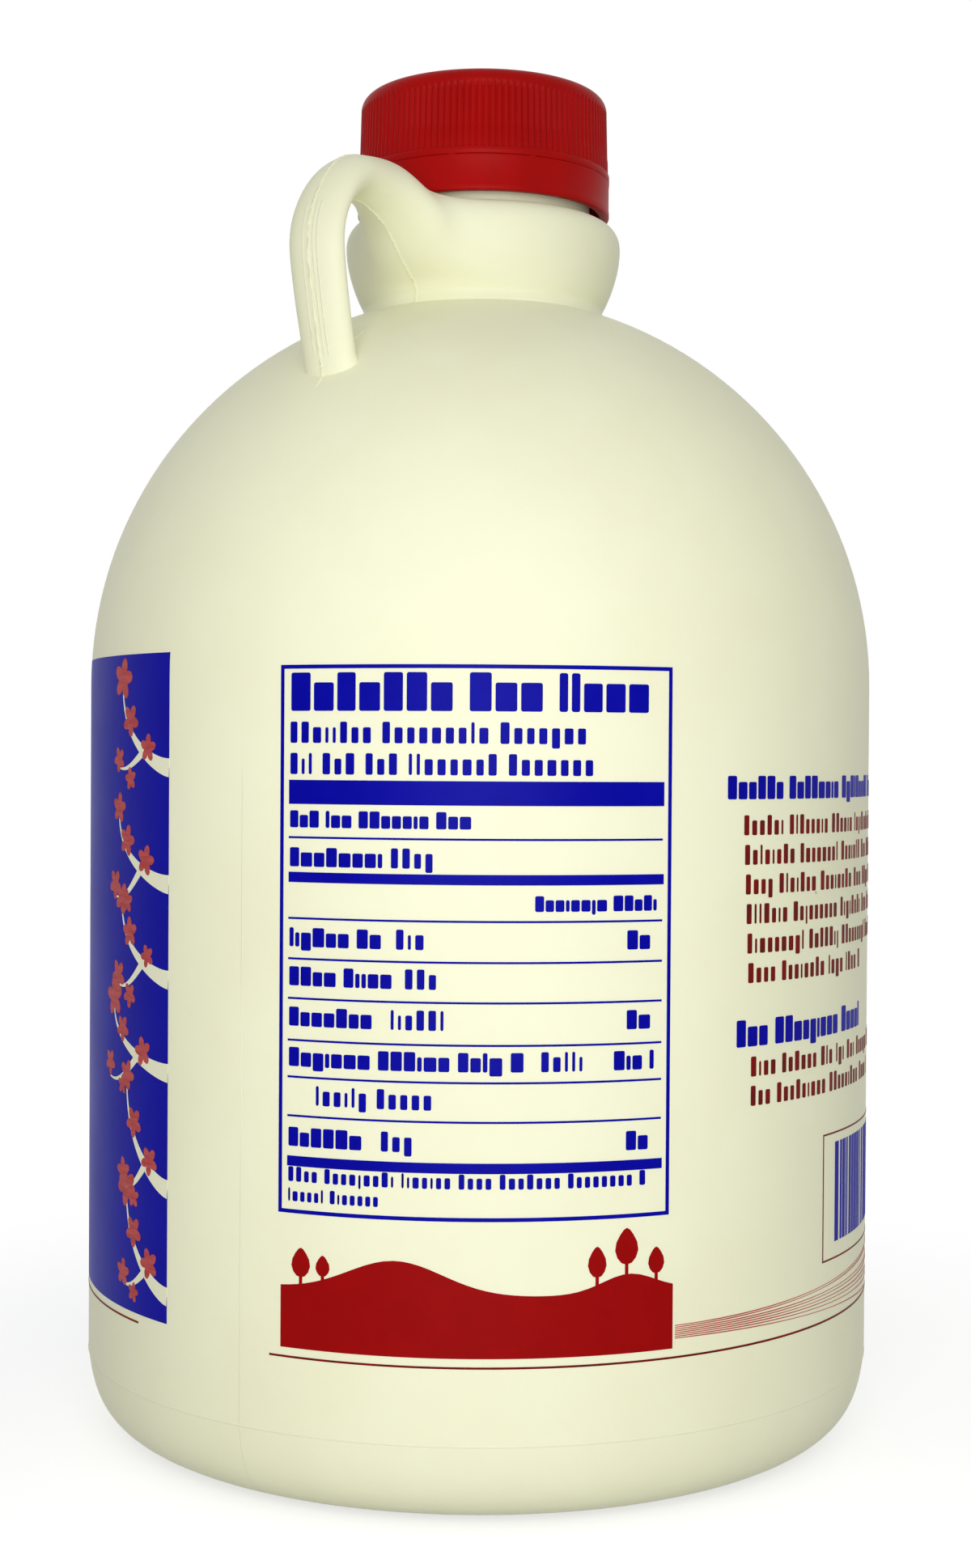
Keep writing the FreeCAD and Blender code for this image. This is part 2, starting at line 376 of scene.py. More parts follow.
def handle_onto(bm, sizes):
    """Grows the finger loop out of the collar's hole and down on to the dome."""
    edge_verts = list(dict.fromkeys(vert for edge in bm.edges if edge.is_boundary for vert in edge.verts))
    middle = sum((vert.co for vert in edge_verts), Vector()) / len(edge_verts)
    spread_y = max(vert.co.y for vert in edge_verts)
    spread_z = (max(vert.co.z for vert in edge_verts) - min(vert.co.z for vert in edge_verts)) / 2

    def clockwise_from_top(vert):
        angle = math.atan2((vert.co.z - middle.z) / spread_z, vert.co.y / spread_y)
        return round(math.pi / 2 - angle, 6) % (2 * math.pi)

    ring = sorted(edge_verts, key=clockwise_from_top)
    count = len(ring)
    for x, z, turn, half_t, half_w, keel in handle_stations(sizes):
        down = math.radians(turn)
        across = Vector((math.sin(down), 0, math.cos(down)))
        spots = []
        for order in range(count):
            angle = math.pi / 2 - 2 * math.pi * order / count
            rise = half_t * ROUND * math.sin(angle)
            if order == count // 2:
                rise -= keel
            spots.append(Vector((x, half_w * ROUND * math.cos(angle), z)) + across * rise)
        ring = grow_ring(bm, ring, spots)
        along = Vector((math.cos(down), 0, -math.sin(down)))
        centre = Vector((x, 0, z))
    # the foot: straight on to the dome, a small flare in its skin, then a plug inside it
    body_r, shoulder_z, skin = mm(sizes, "body_r", "shoulder_z", "skin")
    dome = Vector((0, 0, shoulder_z))
    dome_r = body_r - skin
    above, flare, sink, plug = 0.9, 0.3, 0.03, 2.5

    def reach_to_dome(start):
        offset = start - dome
        half_b = offset.dot(along)
        return -half_b - math.sqrt(half_b ** 2 - offset.dot(offset) + dome_r ** 2)

    starts = [vert.co.copy() for vert in ring]
    ring = grow_ring(bm, ring, [spot + along * (reach_to_dome(spot) - above) for spot in starts])
    skirt = []
    for spot in starts:
        outward = (spot - centre).normalized()
        landed = spot + outward * flare
        landed = landed + along * reach_to_dome(landed)
        skirt.append(dome + (landed - dome).normalized() * (dome_r - sink))
    ring = grow_ring(bm, ring, skirt)
    ring = grow_ring(bm, ring, [dome + (spot - dome).normalized() * (dome_r - plug) for spot in skirt])
    last = [edge for edge in bm.edges if edge.is_boundary]
    bmesh.ops.edgeloop_fill(bm, edges=last)
    bmesh.ops.recalc_face_normals(bm, faces=bm.faces)


def jug_mesh(sizes, material):
    """The jug's whole skin as one closed mesh."""
    cage = collar_cage(sizes)
    handle_onto(cage, sizes)
    neck = store(cage, "neck_and_loop", material)
    smooth = neck.modifiers.new("round", "SUBSURF")
    smooth.levels = smooth.render_levels = 3
    neck_mesh = settled(neck)
    neck = add_object(neck_mesh, "neck_and_loop", material)
    body = store(turned(body_profile(sizes), 192), "jug_body", material)
    union = body.modifiers.new("one_moulding", "BOOLEAN")
    union.operation = "UNION"
    union.solver = "EXACT"
    union.object = neck
    mesh = settled(body)
    bpy.data.objects.remove(neck)
    return mesh


def cut_loops(mesh, y):
    """Closed lines of (place, outward normal) in millimetres where the plane at y cuts the skin."""
    bm = bmesh.new()
    bm.from_mesh(mesh)
    bmesh.ops.scale(bm, vec=(1 / MM,) * 3, verts=bm.verts)
    tree = BVHTree.FromBMesh(bm)
    bmesh.ops.bisect_plane(bm, geom=bm.verts[:] + bm.edges[:] + bm.faces[:], plane_co=(0, y, 0),
                           plane_no=(0, 1, 0), clear_inner=True, clear_outer=True)
    bmesh.ops.remove_doubles(bm, verts=bm.verts, dist=0.02)
    loops, left = [], dict.fromkeys(bm.verts)
    while left:
        start = min(left, key=lambda vert: (round(vert.co.z, 3), round(vert.co.x, 3)))
        line, here = [], start
        while here is not None:
            del left[here]
            line.append(here.co.copy())
            ahead = [edge.other_vert(here) for edge in here.link_edges if edge.other_vert(here) in left]
            here = min(ahead, key=lambda vert: round(vert.co.x, 3)) if ahead else None
        if len(line) > 8:
            loops.append([(spot, tree.find_nearest(spot)[1]) for spot in line])
    bm.free()
    return sorted(loops, key=len)


# ---- finishes ----------------------------------------------------------------------------------

def group_sockets(tree, inputs, outputs):
    for name, kind, default in inputs:
        tree.interface.new_socket(name=name, in_out="INPUT", socket_type=kind).default_value = default
    for name, kind in outputs:
        tree.interface.new_socket(name=name, in_out="OUTPUT", socket_type=kind)
    return tree.nodes.new("NodeGroupInput"), tree.nodes.new("NodeGroupOutput")


def math_node(tree, operation, first, second):
    """A maths node whose inputs are sockets or numbers."""
    node = tree.nodes.new("ShaderNodeMath")
    node.operation = operation
    for socket, value in zip(node.inputs, (first, second)):
        if isinstance(value, (int, float)):
            socket.default_value = value
        else:
            tree.links.new(value, socket)
    return node.outputs[0]


def mix_node(tree, factor, first, second):
    """A colour mix whose inputs are sockets."""
    node = tree.nodes.new("ShaderNodeMix")
    node.data_type = "RGBA"
    for socket, value in ((node.inputs[0], factor), (node.inputs[6], first), (node.inputs[7], second)):
        tree.links.new(value, socket)
    return node.outputs[2]


def noise_node(tree, vector, scale, detail=2.0, roughness=0.5):
    node = tree.nodes.new("ShaderNodeTexNoise")
    tree.links.new(vector, node.inputs["Vector"])
    if isinstance(scale, (int, float)):
        node.inputs["Scale"].default_value = scale
    else:
        tree.links.new(scale, node.inputs["Scale"])
    node.inputs["Detail"].default_value = detail
    node.inputs["Roughness"].default_value = roughness
    return node.outputs["Fac"]


def grain_group():
    """Fine moulded grain: a height for bump and a roughness that follows it."""
    tree = bpy.data.node_groups.new("moulded_grain", "ShaderNodeTree")
    start, end = group_sockets(
        tree, [("Vector", "NodeSocketVector", (0, 0, 0)), ("Scale", "NodeSocketFloat", 900.0),
               ("Roughness", "NodeSocketFloat", 0.45), ("Spread", "NodeSocketFloat", 0.08)],
        [("Height", "NodeSocketFloat"), ("Roughness", "NodeSocketFloat")])
    fine = noise_node(tree, start.outputs["Vector"], start.outputs["Scale"], 3.0, 0.6)
    broad_scale = math_node(tree, "MULTIPLY", start.outputs["Scale"], 0.06)
    broad = noise_node(tree, start.outputs["Vector"], broad_scale, 2.0)
    fine_rise = math_node(tree, "MULTIPLY", fine, 0.35)
    broad_rise = math_node(tree, "MULTIPLY", broad, 2.4)
    height = math_node(tree, "ADD", fine_rise, broad_rise)
    swing = math_node(tree, "MULTIPLY", math_node(tree, "SUBTRACT", broad, 0.5), start.outputs["Spread"])
    tree.links.new(height, end.inputs["Height"])
    tree.links.new(math_node(tree, "ADD", start.outputs["Roughness"], swing), end.inputs["Roughness"])
    return tree


def blotch_group():
    """Soft patches of a second tone."""
    tree = bpy.data.node_groups.new("soft_blotch", "ShaderNodeTree")
    start, end = group_sockets(
        tree, [("Vector", "NodeSocketVector", (0, 0, 0)), ("Scale", "NodeSocketFloat", 40.0),
               ("Amount", "NodeSocketFloat", 1.0), ("Color", "NodeSocketColor", (1, 1, 1, 1)),
               ("Second", "NodeSocketColor", (1, 1, 1, 1))],
        [("Color", "NodeSocketColor")])
    patches = noise_node(tree, start.outputs["Vector"], start.outputs["Scale"], 4.0, 0.6)
    ramp = tree.nodes.new("ShaderNodeMapRange")
    ramp.inputs["From Min"].default_value = 0.38
    ramp.inputs["From Max"].default_value = 0.66
    tree.links.new(patches, ramp.inputs["Value"])
    share = math_node(tree, "MULTIPLY", ramp.outputs[0], start.outputs["Amount"])
    mixed = mix_node(tree, share, start.outputs["Color"], start.outputs["Second"])
    tree.links.new(mixed, end.inputs["Color"])
    return tree


def speck_group():
    """A few small round specks of another colour."""
    tree = bpy.data.node_groups.new("fine_specks", "ShaderNodeTree")
    start, end = group_sockets(
        tree, [("Vector", "NodeSocketVector", (0, 0, 0)), ("Scale", "NodeSocketFloat", 45.0),
               ("Size", "NodeSocketFloat", 0.012), ("Color", "NodeSocketColor", (1, 1, 1, 1)),
               ("Speck", "NodeSocketColor", (0, 0, 0, 1))],
        [("Color", "NodeSocketColor")])
    cells = tree.nodes.new("ShaderNodeTexVoronoi")
    tree.links.new(start.outputs["Vector"], cells.inputs["Vector"])
    tree.links.new(start.outputs["Scale"], cells.inputs["Scale"])
    near = math_node(tree, "LESS_THAN", cells.outputs["Distance"], start.outputs["Size"])
    tree.links.new(mix_node(tree, math_node(tree, "MULTIPLY", near, 0.6), start.outputs["Color"],
                            start.outputs["Speck"]), end.inputs["Color"])
    return tree


def use_group(tree, group, **values):
    """Places a shared group and fills its inputs with sockets, numbers or colours."""
    node = tree.nodes.new("ShaderNodeGroup")
    node.node_tree = bpy.data.node_groups[group]
    for name, value in values.items():
        if isinstance(value, bpy.types.NodeSocket):
            tree.links.new(value, node.inputs[name])
        else:
            node.inputs[name].default_value = value
    return node


def finish_material(name, first, second, patch_scale, patch_amount, grain_scale, rough, bump, stretch=None,
                    speck=None, glow=0.0, shine=0.5):
    """A plastic or ink with two tones, grain in its bump and roughness, and perhaps specks."""
    material = bpy.data.materials.new("finish_" + name)
    material.use_nodes = True
    tree = material.node_tree
    shader = tree.nodes["Principled BSDF"]
    where = tree.nodes.new("ShaderNodeTexCoord").outputs["Object"]
    patch_where = where
    if stretch:
        mapping = tree.nodes.new("ShaderNodeMapping")
        mapping.inputs["Scale"].default_value = stretch
        tree.links.new(where, mapping.inputs["Vector"])
        patch_where = mapping.outputs["Vector"]
    tone = use_group(tree, "soft_blotch", Vector=patch_where, Scale=patch_scale, Amount=patch_amount,
                     Color=(*first, 1), Second=(*second, 1)).outputs["Color"]
    if speck:
        tone = use_group(tree, "fine_specks", Vector=where, Color=tone, Speck=(*speck, 1)).outputs["Color"]
    grain = use_group(tree, "moulded_grain", Vector=where, Scale=grain_scale, Roughness=rough)
    relief = tree.nodes.new("ShaderNodeBump")
    relief.inputs["Strength"].default_value = bump
    relief.inputs["Distance"].default_value = 0.00012
    tree.links.new(grain.outputs["Height"], relief.inputs["Height"])
    tree.links.new(tone, shader.inputs["Base Color"])
    tree.links.new(grain.outputs["Roughness"], shader.inputs["Roughness"])
    tree.links.new(relief.outputs["Normal"], shader.inputs["Normal"])
    shader.inputs["IOR"].default_value = 1.5
    shader.inputs["Specular IOR Level"].default_value = shine
    if glow:
        shader.inputs["Subsurface Weight"].default_value = glow
        shader.inputs["Subsurface Scale"].default_value = 0.004
        shader.inputs["Subsurface Radius"].default_value = (1.0, 0.9, 0.6)
    return material


def make_finishes(colours):
    """Every finish of the jug, built once."""
    for make in (grain_group, blotch_group, speck_group):
        make()
    ink = {"grain_scale": 1100, "rough": 0.42, "bump": 0.2, "shine": 0.05}
    finish_material("cream_plastic", colours.cream, colours.cream_deep, patch_scale=30, patch_amount=0.55,
                    grain_scale=1100, rough=0.5, bump=0.5, speck=colours.speck, glow=0.06, shine=0.25)
    finish_material("red_plastic", colours.red, colours.red_deep, patch_scale=90, patch_amount=0.5,
                    grain_scale=1500, rough=0.42, bump=0.2, stretch=(1, 1, 0.25), shine=0.07)
    finish_material("blue_ink", colours.blue_ink, colours.blue_thin, patch_scale=160, patch_amount=0.35,
                    **ink)
    finish_material("red_ink", colours.red_ink, colours.red, patch_scale=160, patch_amount=0.25, **ink)
    finish_material("leaf_ink", colours.leaf_ink, colours.red_ink, patch_scale=700, patch_amount=0.45,
                    stretch=(0.3, 0.3, 2.2), **ink)
    finish_material("brown_ink", colours.brown_ink, colours.red_ink, patch_scale=260, patch_amount=0.5, **ink)


def finish(name):
    """A finish by its slot's name. The first call makes them all."""
    if "finish_" + name not in bpy.data.materials:
        make_finishes(bpy.context.scene.finish_colours)
    return bpy.data.materials["finish_" + name]


# ---- the print ---------------------------------------------------------------------------------
# Flat shapes are laid on the unrolled wall: x runs round it from +X, y is the height and z the ink.

class Print:
    """Ink shapes on the unrolled wall, in millimetres, that are wrapped on to the jug at the end."""

    def __init__(self, context, lift=0.0):
        jug, ink = context.scene.jug_sizes, context.scene.ink_sizes
        self.body_r, self.shoulder_z = mm(jug, "body_r", "shoulder_z")
        depth, under = mm(ink, "depth", "under")
        self.low = -depth
        self.high = -under + lift
        self.bm = bmesh.new()

    def along(self, angle):
        """Distance round the wall at an angle in radians."""
        return self.body_r * angle

    def block(self, left, low, width, height):
        """A rectangle from its lower left corner. It returns its vertices."""
        middle = Matrix.Translation((left + width / 2, low + height / 2, 0))
        place_in = middle @ Matrix.Diagonal((width, height, 1, 1))
        return bmesh.ops.create_grid(self.bm, x_segments=1, y_segments=1, size=0.5, matrix=place_in)["verts"]

    def ribbon(self, centre, half_width, steps):
        """A band whose middle line is centre(t) and whose half width is half_width(t), t from 0 to 1."""
        verts = bmesh.ops.create_grid(self.bm, x_segments=1, y_segments=steps, size=0.5)["verts"]
        for vert in verts:
            t, side = vert.co.y + 0.5, math.copysign(1, vert.co.x)
            here, ahead = Vector(centre(t)), Vector(centre(t + 0.01))
            way = (ahead - here).normalized()
            out = Vector((way.y, -way.x)) * (side * half_width(t))
            vert.co = (here.x + out.x, here.y + out.y, 0)

    def oval(self, x, y, half_w, half_h, turn=0.0, points=14, tip=0.0):
        """A filled oval, perhaps with one end drawn out to a tip."""
        verts = bmesh.ops.create_circle(self.bm, cap_ends=True, segments=points, radius=1)["verts"]
        for vert in verts:
            narrow = 1 - tip * max(0, vert.co.y)
            flat = Vector((vert.co.x * half_w * narrow, vert.co.y * half_h, 0))
            vert.co = Matrix.Rotation(turn, 3, "Z") @ flat + Vector((x, y, 0))

    def ring(self, x, y, half_w, half_h, thick, steps=72):
        """An oval outline."""
        def centre(t):
            return (x + half_w * math.cos(2 * math.pi * t), y + half_h * math.sin(2 * math.pi * t))
        self.ribbon(centre, lambda t: thick / 2, steps)

    def round_corners(self, verts, radius, segments=2):
        bmesh.ops.bevel(self.bm, geom=verts, offset=radius, affect="VERTICES", segments=segments,
                        profile=0.5, material=-1)

    def words(self, left, low, right, height, seed, weight=0.62, bold=False):
        """A run of letter-sized blocks that reads as words but spells nothing."""
        pick = random.Random(seed)
        x, corners = left, []
        gap = height * (0.1 if bold else 0.22)
        while True:
            for order in range(pick.choice((3, 4, 6, 7, 8, 9))):
                width = height * weight * pick.choice((0.4, 0.9, 0.95, 1.0, 1.0, 1.1))
                if x + width > right:
                    return corners
                tall = height * (1.0 if order == 0 or pick.random() < 0.22 else 0.74)
                drop = height * 0.2 if tall < height and pick.random() < 0.07 else 0
                corners += self.block(x, low - drop, width, tall + drop)
                x += width + gap
            x += height * 0.34

    def stitch(self, name, slot, material=None, bend_step=1.6):
        """Cuts wide shapes so that they bend, gives the ink its thickness and wraps it on the wall."""
        bm = self.bm
        xs = [vert.co.x for vert in bm.verts]
        cut = math.floor(min(xs) / bend_step) + 1
        while cut * bend_step < max(xs):
            wide = [face for face in bm.faces
                    if min(v.co.x for v in face.verts) < cut * bend_step - 0.4
                    and max(v.co.x for v in face.verts) > cut * bend_step + 0.4]
            if wide:
                verts = dict.fromkeys(vert for face in wide for vert in face.verts)
                edges = dict.fromkeys(edge for face in wide for edge in face.edges)
                bmesh.ops.bisect_plane(bm, geom=[*verts, *edges, *wide], plane_co=(cut * bend_step, 0, 0),
                                       plane_no=(1, 0, 0))
            cut += 1
        for level in (self.shoulder_z, self.shoulder_z + 1.6, self.shoulder_z + 3.2):
            bmesh.ops.bisect_plane(bm, geom=bm.verts[:] + bm.edges[:] + bm.faces[:],
                                   plane_co=(0, level, 0), plane_no=(0, 1, 0))
        for vert in bm.verts:
            vert.co.z = self.low
        top = bmesh.ops.extrude_face_region(bm, geom=bm.faces[:], use_keep_orig=True)["geom"]
        for vert in top:
            if isinstance(vert, bmesh.types.BMVert):
                vert.co.z = self.high
        for vert in bm.verts:
            angle = vert.co.x / self.body_r
            over = max(0.0, vert.co.y - self.shoulder_z)
            r = math.sqrt(self.body_r ** 2 - over ** 2) + vert.co.z
            vert.co = (r * math.cos(angle), r * math.sin(angle), vert.co.y)
        bmesh.ops.recalc_face_normals(bm, faces=bm.faces)
        piece = store(bm, name, material or finish(slot), 30)
        place(piece)
        return piece


def wanted(context, name):
    """Stops the making when a piece that should be there is missing."""
    if name not in bpy.data.objects:
        raise RuntimeError(f"{name} wasn't made")
    return {"FINISHED"}


# ---- operators: one for each piece or group of like pieces -------------------------------------

class MakeShell(bpy.types.Operator):
    """Moulded jug with its finger loop, collar and neck"""
    bl_idname = "syrup_jug.shell"
    bl_label = "Jug shell"

    def execute(self, context):
        mesh = jug_mesh(context.scene.jug_sizes, finish("cream_plastic"))
        piece = add_object(mesh, "jug_shell", finish("cream_plastic"), 40)
        place(piece, "jug")
        return wanted(context, "jug_shell")


class MakeSeams(bpy.types.Operator):
    """Mould seams: the parting line round the jug, the finger loop's flash and the heel's ring"""
    bl_idname = "syrup_jug.seams"
    bl_label = "Mould seams"

    def execute(self, context):
        sizes = context.scene.jug_sizes
        mesh = bpy.data.objects["jug_shell"].data
        bead_r, rise = 0.25, mm(sizes, "seam_rise")
        body_rise, drag_rise, heel_z = 0.035, 0.07, 13.5
        root_x, strap_x, foot_drop = 18.5, 35, 18.2    # where the finger loop starts, inside and below
        face_x, face_drop, face_rise = 42.5, 13, 10    # the stretch of its outer face with drag lines
        body_r, heel_h, shoulder_z = mm(sizes, "body_r", "heel_h", "shoulder_z")
        crease_z = crease_height(sizes)
        pick = random.Random(7)
        lines = []
        for loop in cut_loops(mesh, 0.004):
            points = []
            for spot, normal in loop:
                on_arch = spot.x > root_x and spot.z > crease_z - 0.5
                on_loop = on_arch or (spot.x > strap_x and spot.z > crease_z - foot_drop)
                up = body_rise if spot.z < shoulder_z else body_rise / 4
                if on_loop:
                    up = rise + pick.uniform(-0.05, 0.05)
                side = pick.uniform(-0.12, 0.12) if on_loop else 0
                low = max(bead_r + 0.02, spot.z + normal.z * (up - bead_r))
                points.append((spot.x + normal.x * (up - bead_r), side, low))
            lines.append((points, True))
        place(tube("parting_seam", finish("cream_plastic"), lines, bead_r))
        drag = []
        out = drag_rise - bead_r
        for y in (-1.05, 0.8, 1.5):
            for loop in cut_loops(mesh, y):
                points = [(spot.x + normal.x * out, y, spot.z + normal.z * out)
                          for spot, normal in loop if spot.x > face_x and normal.x > 0.5
                          and crease_z - face_drop < spot.z < crease_z + face_rise]
                if len(points) > 6:
                    points.sort(key=lambda point: point[2])
                    drag.append((points, False))
        place(tube("loop_drag_lines", finish("cream_plastic"), drag, bead_r))
        heel_r = body_r - bead_r - 0.005
        bm = bmesh.new()
        bmesh.ops.create_circle(bm, segments=192, radius=heel_r,
                                matrix=Matrix.Translation((0, 0, min(heel_z, heel_h))))
        ring = [vert.co.copy() for vert in bm.verts]
        bm.free()
        place(tube("heel_ring", finish("cream_plastic"), [(ring, True)], bead_r))
        return wanted(context, "parting_seam")


class MakeCap(bpy.types.Operator):
    """Ribbed screw cap with its ledge"""
    bl_idname = "syrup_jug.cap"
    bl_label = "Screw cap"

    def execute(self, context):
        sizes = context.scene.cap_sizes
        rib_r, rib_depth, draft, corner, wall = mm(sizes, "rib_r", "rib_depth", "draft", "corner", "wall")
        roof, lip_r, ledge_h = mm(sizes, "roof", "lip_r", "ledge_h")
        low, high = CAP_LOW.z / MM, CAP_HIGH.z / MM
        inner_r, soft = rib_r - wall, 0.06
        ledge_z = low + ledge_h
        fuller_h, swell_r = 2.7, 0.06    # the skirt is a little fuller just above the ledge
        fuller_z = ledge_z + fuller_h
        top_r = rib_r - draft - corner
        fade_z = high - corner - 0.1
        outside = [(lip_r - soft, low), (lip_r, low + soft), (lip_r, ledge_z - 2 * soft),
                   (lip_r - soft, ledge_z - soft / 2), (rib_r + 0.02, ledge_z)]
        skirt_z = [ledge_z + 0.25, fuller_z - 0.12, fuller_z]
        skirt_z += [fuller_z + (fade_z - 0.9 - fuller_z) * step / 5 for step in range(1, 6)]
        skirt_z += [fade_z - 0.5, fade_z - 0.2, fade_z]
        for z in skirt_z:
            swell = swell_r if z < fuller_z - 0.05 else 0
            outside.append((rib_r - draft * (z - ledge_z) / (fade_z - ledge_z) + swell, z))
        outside += arc((top_r, high - corner), corner, 6, 90, 10)
        outside += [(top_r - 0.9, high), (top_r - 1.1, high - 0.08), (2.2, high - 0.1),
                    (1.6, high - 0.25), (0, high - 0.25)]
        inside = [(0, high - roof), (inner_r - 0.6, high - roof), (inner_r, high - roof - 0.6),
                  (inner_r, low + soft), (inner_r + soft, low)]
        per_rib = 6
        bm = turned(inside + outside, per_rib * sizes.rib_count)
        for vert in bm.verts:
            r = math.hypot(vert.co.x, vert.co.y)
            if vert.co.z < ledge_z + 0.01 or vert.co.z > fade_z + 0.01 or r < inner_r + 0.5:
                continue
            turn = math.atan2(vert.co.y, vert.co.x) * sizes.rib_count
            fade = min(1.0, (fade_z - vert.co.z) / 0.6, (vert.co.z - ledge_z) / 0.2)
            groove = rib_depth * fade * (0.5 - 0.5 * math.cos(turn)) ** 1.4
            vert.co.x *= (r - groove) / r
            vert.co.y *= (r - groove) / r
        place(store(bm, "screw_cap", finish("red_plastic"), 50), "cap")
        return wanted(context, "screw_cap")


class MakeBand(bpy.types.Operator):
    """Tamper band with its bridges up to the cap"""
    bl_idname = "syrup_jug.band"
    bl_label = "Tamper band"

    def execute(self, context):
        sizes = context.scene.cap_sizes
        lip_r, band_wall, edge, slit, rib_r = mm(sizes, "lip_r", "band_wall", "band_edge", "slit", "rib_r")
        low, high = BAND_LOW.z / MM, CAP_LOW.z / MM - slit
        bridge_count, bridge_t, bridge_w, bridge_h = 10, 0.9, 1.0, slit + edge
        inner_r = lip_r - band_wall
        lip = 0.25
        profile = [(inner_r, low + 0.1), (inner_r + 0.25, low)]
        profile += arc((lip_r - lip, low + lip), lip, -90, 0, 4)
        profile += [(lip_r, low + 0.9), (lip_r - 0.06, low + 1.1), (lip_r - 0.06, high - edge - 0.4)]
        profile += arc((lip_r - edge, high - edge), edge, 0, 90, 5) + [(inner_r, high)]
        bm = turned(profile, 192)
        for step in range(bridge_count):
            turn = Matrix.Rotation(2 * math.pi * (step + 0.5) / bridge_count, 4, "Z")
            spot = Matrix.Translation((rib_r - 0.2, 0, high - edge + bridge_h / 2))
            stretch = Matrix.Diagonal((bridge_t, bridge_w, bridge_h, 1))
            bmesh.ops.create_cube(bm, size=1, matrix=turn @ spot @ stretch)
        bmesh.ops.recalc_face_normals(bm, faces=bm.faces)
        place(store(bm, "band_ring", finish("red_plastic"), 40), "tamper_band")
        return wanted(context, "band_ring")


class MakeTable(bpy.types.Operator):
    """Framed table panel with rules, bars and rows of blocks in place of words"""
    bl_idname = "syrup_jug.table"
    bl_label = "Table print"

    def execute(self, context):
        sheet = Print(context)
        left = sheet.along(context.scene.ink_sizes.panel_left)
        width, low, high, frame_w = 57.2, 44.9, 122.3, 0.55
        for spot in ((0, low, width, frame_w), (0, high - frame_w, width, frame_w),
                     (0, low, frame_w, high - low), (width - frame_w, low, frame_w, high - low)):
            sheet.block(left + spot[0], *spot[1:])
        inset = 1.4
        for middle, thick in ((104.4, 3.4), (92.4, 1.45), (52.3, 1.45)):
            sheet.block(left + inset, middle - thick / 2, width - 2 * inset + 0.2, thick)
        for middle in (98.0, 86.6, 80.9, 75.3, 69.4, 64.2, 58.7):
            sheet.block(left + inset, middle - 0.15, width - 2 * inset, 0.3)
        sheet.stitch("table_frame", "blue_ink")
        text = Print(context)
        heavy = text.words(left + 1.7, 115.8, left + 54.8, 5.4, 11, 0.56, True)
        text.round_corners(heavy, 0.3, 3)
        # height of the letters' foot, then the start and end of each run, its size and whether it is bold
        runs = [(111.3, 1.6, 46.6, 3.0, False), (106.9, 1.6, 45.5, 3.0, False), (99.4, 1.6, 30.0, 2.4, True),
                (93.9, 1.6, 15.6, 2.7, True), (93.9, 16.8, 23.2, 2.8, False), (88.0, 37.0, 55.3, 2.2, True),
                (82.6, 1.6, 16.6, 2.7, True), (82.6, 17.6, 22.2, 2.8, False), (82.6, 50.4, 55.3, 2.7, True),
                (77.1, 1.6, 17.8, 2.7, True), (77.1, 18.9, 23.3, 2.8, False),
                (71.4, 1.6, 14.2, 2.7, True), (71.4, 16.9, 24.4, 2.8, False), (71.4, 50.4, 55.3, 2.7, True),
                (65.7, 1.6, 36.6, 2.7, True), (65.7, 38.0, 44.0, 2.8, False), (65.7, 48.5, 55.3, 2.7, True),
                (60.3, 5.9, 24.0, 2.8, False),
                (54.4, 1.6, 12.9, 2.7, True), (54.4, 15.6, 20.4, 2.8, False), (54.4, 50.4, 55.3, 2.7, True),
                (49.4, 1.6, 53.8, 2.1, False), (46.6, 1.6, 15.7, 1.9, False)]
        corners = []
        for order, (low, start, end, size, bold) in enumerate(runs):
            weight = 0.6 if bold else 0.38
            corners += text.words(left + start, low, left + end, size, 30 + order, weight, bold)
        text.round_corners(corners, 0.22)
        text.stitch("table_blocks", "blue_ink")
        return wanted(context, "table_blocks")


